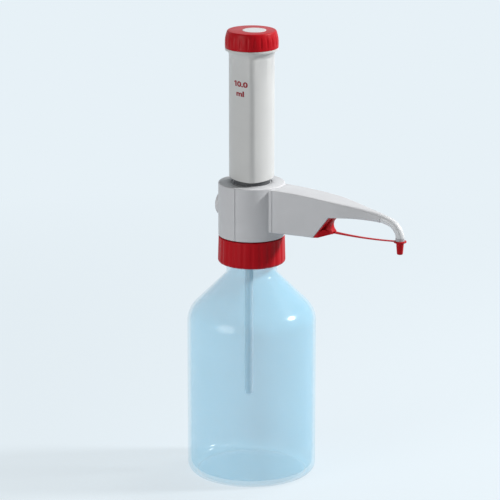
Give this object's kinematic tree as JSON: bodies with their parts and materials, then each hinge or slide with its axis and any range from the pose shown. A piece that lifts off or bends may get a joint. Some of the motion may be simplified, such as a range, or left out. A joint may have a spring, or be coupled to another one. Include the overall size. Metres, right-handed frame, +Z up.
{
  "type": "bottle top dispenser",
  "caption": "Bottle top dispenser with a red collar, a moulded discharge arm and a tall piston sleeve, screwed on a clear reagent bottle.",
  "frame": {"origin": "centre of the bottle's foot, on the table", "axes": "+Z up along the bottle's axis, +X towards the nozzle at the end of the discharge arm, +Y to the left of the arm seen from behind the dispenser"},
  "size_m": [0.187, 0.102, 0.3583],
  "materials": {
    "bottle_glass": "clear",
    "cylinder_glass": "clear",
    "red_plastic": "satin",
    "housing_plastic": "satin",
    "sleeve_plastic": "satin",
    "disc_plastic": "satin",
    "grey_plastic": "satin",
    "fluoropolymer": "matt",
    "tube_plastic": "translucent",
    "black_rubber": "matt",
    "ball_ceramic": "polished",
    "spring_metal": "bright"
  },
  "bodies": {
    "bottle": {"bottle": "bottle_glass"},
    "seal": {"neck_seal": "fluoropolymer"},
    "head": {"valve_block": "housing_plastic", "rear_shell": "housing_plastic", "front_shell": "housing_plastic", "arm_cover": "housing_plastic", "glass_cylinder": "cylinder_glass", "cylinder_seal": "fluoropolymer", "cylinder_jacket": "sleeve_plastic", "jacket_nut": "grey_plastic", "filling_valve": "fluoropolymer", "suction_tube": "tube_plastic", "discharge_seat": "fluoropolymer", "discharge_spring": "spring_metal", "discharge_plug": "fluoropolymer", "liner_tube": "fluoropolymer", "discharge_tube": "housing_plastic", "nozzle_ring": "grey_plastic", "nozzle_tip": "fluoropolymer", "cap_holder": "red_plastic", "cap_strap": "red_plastic"},
    "collar": {"collar_nut": "red_plastic"},
    "piston": {"piston_head": "fluoropolymer", "piston_seals": "fluoropolymer", "piston_rod": "housing_plastic", "rod_nut": "grey_plastic", "piston_sleeve": "sleeve_plastic"},
    "screw_cap": {"top_cap": "red_plastic", "cap_disc": "disc_plastic"},
    "vent": {"vent_plug": "housing_plastic", "vent_seal": "black_rubber"},
    "filling_ball": {"filling_ball": "ball_ceramic"},
    "discharge_ball": {"discharge_ball": "ball_ceramic"},
    "extension": {"suction_extension": "tube_plastic"},
    "closure": {"nozzle_cap": "red_plastic"}
  },
  "joints": [
    {"name": "lift_off", "type": "slide", "parent": "bottle", "child": "seal", "axis": [0, 0, 1], "range_m": [0, 0.14]},
    {"name": "swivel", "type": "hinge", "parent": "seal", "child": "head", "pos_m": [0, 0, 0.19], "axis": [0, 0, 1], "continuous": true},
    {"name": "nut_turn", "type": "hinge", "parent": "head", "child": "collar", "pos_m": [0, 0, 0.183], "axis": [0, 0, 1], "continuous": true},
    {"name": "piston_stroke", "type": "slide", "parent": "head", "child": "piston", "axis": [0, 0, 1], "range_m": [0, 0.0497]},
    {"name": "cap_turn", "type": "hinge", "parent": "piston", "child": "screw_cap", "pos_m": [0, 0, 0.35], "axis": [0, 0, 1], "continuous": true},
    {"name": "vent_pull", "type": "slide", "parent": "head", "child": "vent", "axis": [-1, 0, 0], "range_m": [0, 0.012]},
    {"name": "filling_ball_lift", "type": "slide", "parent": "head", "child": "filling_ball", "axis": [0, 0, 1], "range_m": [0, 0.0012]},
    {"name": "discharge_ball_lift", "type": "slide", "parent": "head", "child": "discharge_ball", "axis": [0, 0, 1], "range_m": [0, 0.0012], "stiffness_N_per_m": 20, "springref_m": -0.0005, "deforming": ["discharge_spring"]},
    {"name": "tube_extension", "type": "slide", "parent": "head", "child": "extension", "axis": [0, 0, -1], "range_m": [0, 0.05]},
    {"name": "closure_pull", "type": "slide", "parent": "head", "child": "closure", "axis": [0, 0, -1], "range_m": [0, 0.013], "deforming": ["cap_strap"]}
  ]
}
